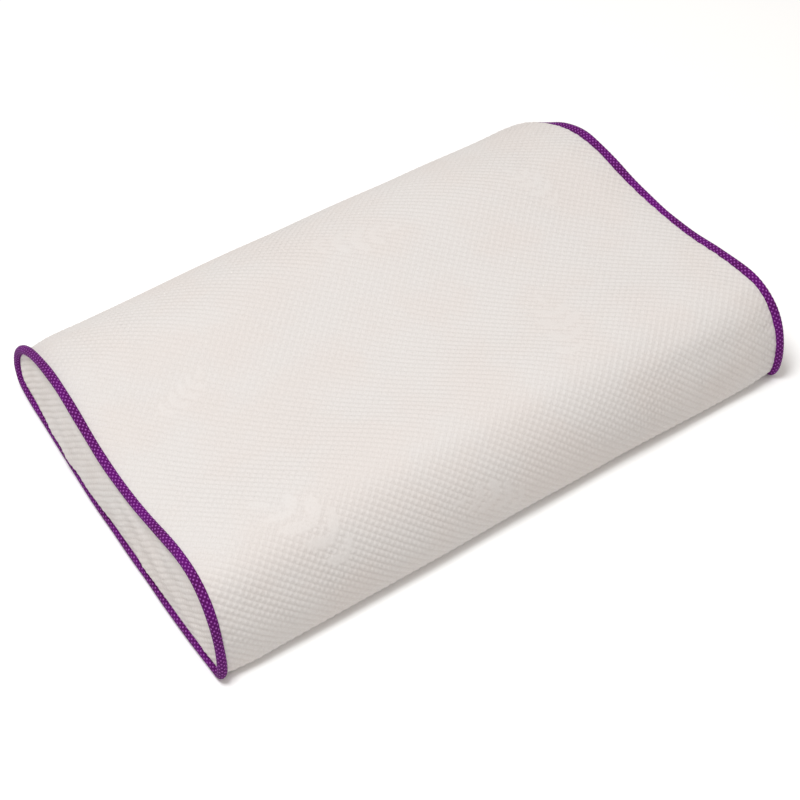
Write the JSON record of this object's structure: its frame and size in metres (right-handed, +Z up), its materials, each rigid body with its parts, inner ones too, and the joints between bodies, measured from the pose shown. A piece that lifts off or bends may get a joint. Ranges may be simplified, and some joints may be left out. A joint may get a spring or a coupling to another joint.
{
  "type": "bed pillow",
  "caption": "Wave-shaped foam bed pillow in a quilted knit cover with mesh-bound end seams and a zip along the rear face.",
  "frame": {"origin": "centre of the overall box in X and Y, at the underside that rests on the bed", "axes": "+X along the pillow's length, +Y from the high neck lobe (front) to the low rear lobe with the zip, +Z up"},
  "size_m": [0.6, 0.4042, 0.1051],
  "materials": {
    "cover_knit": "matte",
    "binding_mesh": "matte",
    "liner_knit": "matte",
    "filler_cord": "matte",
    "foam": "matte",
    "zip_tape": "matte",
    "zip_coil": "satin",
    "zip_metal": "satin",
    "label_satin": "satin"
  },
  "bodies": {
    "pillow": {"foam_core": "foam", "liner_sleeve": "liner_knit", "liner_end_left": "liner_knit", "liner_end_right": "liner_knit", "cover_body": "cover_knit", "cover_end_left": "cover_knit", "cover_end_right": "cover_knit", "binding_left": "binding_mesh", "binding_right": "binding_mesh", "binding_cord_left": "filler_cord", "binding_cord_right": "filler_cord", "zip_tape_upper": "zip_tape", "zip_tape_lower": "zip_tape", "zip_coil_upper": "zip_coil", "zip_coil_lower": "zip_coil", "zip_stop_upper": "zip_metal", "zip_stop_lower": "zip_metal", "zip_stop_end": "zip_metal", "care_label": "label_satin"},
    "slider": {"zip_slider": "zip_metal"},
    "pull": {"zip_pull": "zip_metal"}
  },
  "joints": [
    {"name": "zip_slide", "type": "slide", "parent": "pillow", "child": "slider", "axis": [1, 0, 0], "range_m": [0, 0.489]},
    {"name": "pull_swing", "type": "hinge", "parent": "slider", "child": "pull", "pos_m": [-0.2447, 0.1999, 0.024], "axis": [0, 0, 1], "range_deg": [0, 175]}
  ]
}
